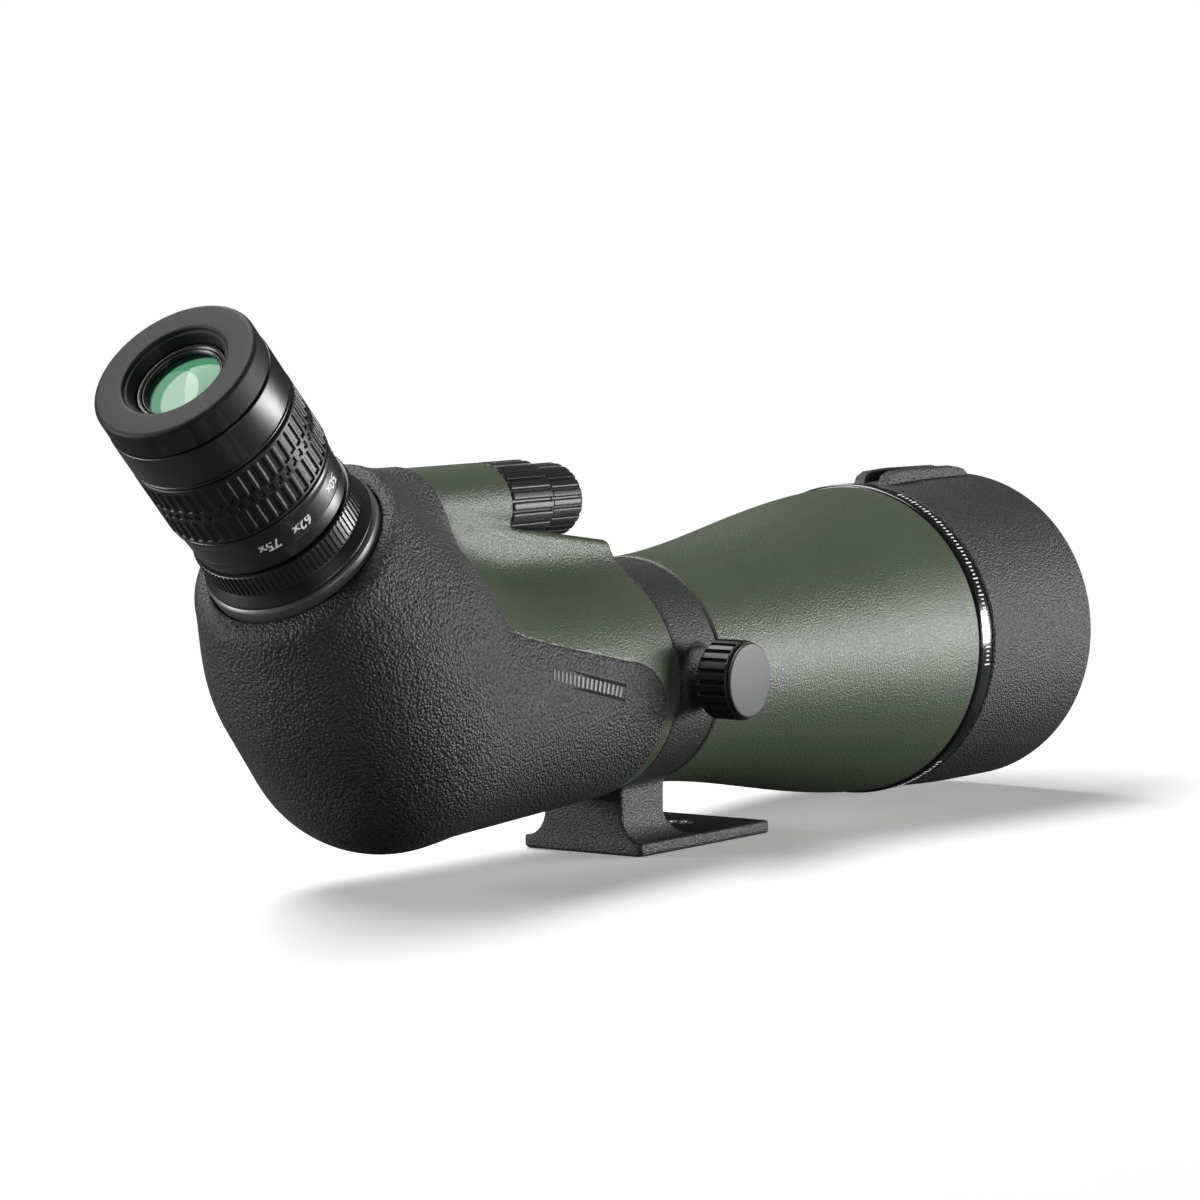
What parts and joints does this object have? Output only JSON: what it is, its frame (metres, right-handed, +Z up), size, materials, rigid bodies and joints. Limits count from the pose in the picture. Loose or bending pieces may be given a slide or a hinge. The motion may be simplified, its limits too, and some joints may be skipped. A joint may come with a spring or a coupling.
{
  "type": "spotting scope",
  "caption": "Angled spotting scope with a zoom eyepiece, twin focus knobs, a sliding lens hood and a rotating tripod collar with a lock knob and a foot.",
  "frame": {"origin": "centre of the underside of the tripod foot", "axes": "+Z up out of the foot, +Y along the barrel towards the objective, +X to the user's right, the side with the collar's lock knob"},
  "size_m": [0.1062, 0.4407, 0.1711],
  "materials": {
    "green_paint": "satin",
    "rubber_armour": "matte",
    "crinkle_black": "matte",
    "gloss_black": "gloss",
    "black_rubber": "matte",
    "grey_anodised": "satin",
    "steel": "satin",
    "brass": "satin",
    "glass": "polished",
    "satin_black": "satin"
  },
  "bodies": {
    "collar": {"tripod_collar": "crinkle_black", "large_thread_bush": "steel", "small_thread_bush": "steel"},
    "lock_slide": {"clamp_pad": "black_rubber"},
    "lock_knob": {"lock_screw": "steel", "lock_knob": "black_rubber", "lock_knob_cap": "grey_anodised"},
    "scope": {"front_barrel": "green_paint", "front_light_stop": "satin_black", "name_ring": "gloss_black", "objective_cell": "satin_black", "rear_objective_element": "glass", "element_spacer": "satin_black", "front_objective_element": "glass", "objective_retainer": "satin_black", "hood_felt": "black_rubber", "rear_housing": "green_paint", "rubber_armour": "rubber_armour", "badge_plate": "gloss_black", "purge_screw": "steel", "prism": "glass", "prism_holder": "satin_black", "prism_clamp": "steel", "focus_bush": "brass", "left_guide_rod": "steel", "right_guide_rod": "steel", "rear_light_stop": "satin_black", "eyepiece_base_ring": "grey_anodised"},
    "hood": {"hood_tube": "satin_black", "hood_armour": "rubber_armour"},
    "coarse_focus": {"focus_shaft": "steel", "coarse_knob": "black_rubber"},
    "fine_focus": {"fine_shaft": "steel", "fine_knob": "black_rubber", "fine_knob_cap": "satin_black"},
    "focus_carriage": {"focus_arm": "brass", "focus_cell": "satin_black", "focus_lens": "glass"},
    "eyepiece_lock": {"eyepiece_lock_ring": "satin_black"},
    "eyepiece": {"eyepiece_tube": "satin_black", "field_lens": "glass", "eye_lens_cell": "satin_black", "eye_lens": "glass", "eye_lens_retainer": "satin_black"},
    "zoom": {"zoom_scale_ring": "satin_black", "zoom_grip": "black_rubber", "zoom_cam_sleeve": "brass"},
    "front_zoom_group": {"front_zoom_cell": "satin_black", "front_zoom_lens": "glass"},
    "rear_zoom_group": {"rear_zoom_cell": "satin_black", "rear_zoom_lens": "glass"},
    "eyecup_lift": {"eyecup_detent_ring": "brass"},
    "eyecup": {"eyecup_sleeve": "satin_black", "eyecup_rubber": "black_rubber"}
  },
  "joints": [
    {"name": "collar_turn", "type": "hinge", "parent": "collar", "child": "scope", "pos_m": [0, -0.0248, 0.0545], "axis": [0, 1, 0], "continuous": true},
    {"name": "lock_travel", "type": "slide", "parent": "collar", "child": "lock_slide", "axis": [1, 0, 0], "range_m": [0, 0.0012]},
    {"name": "lock_turn", "type": "hinge", "parent": "lock_slide", "child": "lock_knob", "pos_m": [0, -0.0248, 0.0551], "axis": [1, 0, 0], "range_deg": [0, 540]},
    {"name": "hood_slide", "type": "slide", "parent": "scope", "child": "hood", "axis": [0, 1, 0], "range_m": [0, 0.035]},
    {"name": "coarse_focus_turn", "type": "hinge", "parent": "scope", "child": "coarse_focus", "pos_m": [0, -0.07895, 0.1097], "axis": [0, 1, 0], "range_deg": [-540, 540]},
    {"name": "fine_focus_turn", "type": "hinge", "parent": "scope", "child": "fine_focus", "pos_m": [0, -0.05895, 0.1097], "axis": [0, 1, 0], "range_deg": [-2160, 2160]},
    {"name": "focus_carriage_travel", "type": "slide", "parent": "scope", "child": "focus_carriage", "axis": [0, 1, 0], "range_m": [-0.009, 0.009]},
    {"name": "eyepiece_lock_turn", "type": "hinge", "parent": "scope", "child": "eyepiece_lock", "pos_m": [0, -0.13075, 0.0545], "axis": [0, -0.7133, 0.7009], "range_deg": [0, 60]},
    {"name": "eyepiece_slide", "type": "slide", "parent": "scope", "child": "eyepiece", "axis": [0, -0.7133, 0.7009], "range_m": [0, 0.045]},
    {"name": "zoom_turn", "type": "hinge", "parent": "eyepiece", "child": "zoom", "pos_m": [0, -0.13075, 0.0545], "axis": [0, -0.7133, 0.7009], "range_deg": [0, 150]},
    {"name": "front_zoom_travel", "type": "slide", "parent": "eyepiece", "child": "front_zoom_group", "axis": [0, -0.7133, 0.7009], "range_m": [0, 0.008]},
    {"name": "rear_zoom_travel", "type": "slide", "parent": "eyepiece", "child": "rear_zoom_group", "axis": [0, -0.7133, 0.7009], "range_m": [-0.006, 0]},
    {"name": "eyecup_rise", "type": "slide", "parent": "eyepiece", "child": "eyecup_lift", "axis": [0, -0.7133, 0.7009], "range_m": [0, 0.01]},
    {"name": "eyecup_turn", "type": "hinge", "parent": "eyecup_lift", "child": "eyecup", "pos_m": [0, -0.13075, 0.0545], "axis": [0, -0.7133, 0.7009], "range_deg": [0, 200]}
  ],
  "couplings": [
    {"joint": "lock_travel", "follows": "lock_turn", "m_per_rad": 0.00012732},
    {"joint": "fine_focus_turn", "follows": "coarse_focus_turn", "ratio": 4},
    {"joint": "focus_carriage_travel", "follows": "coarse_focus_turn", "m_per_rad": 0.00095493},
    {"joint": "front_zoom_travel", "follows": "zoom_turn", "m_per_rad": 0.0030558},
    {"joint": "rear_zoom_travel", "follows": "zoom_turn", "m_per_rad": -0.0022918},
    {"joint": "eyecup_rise", "follows": "eyecup_turn", "m_per_rad": 0.0028648}
  ]
}
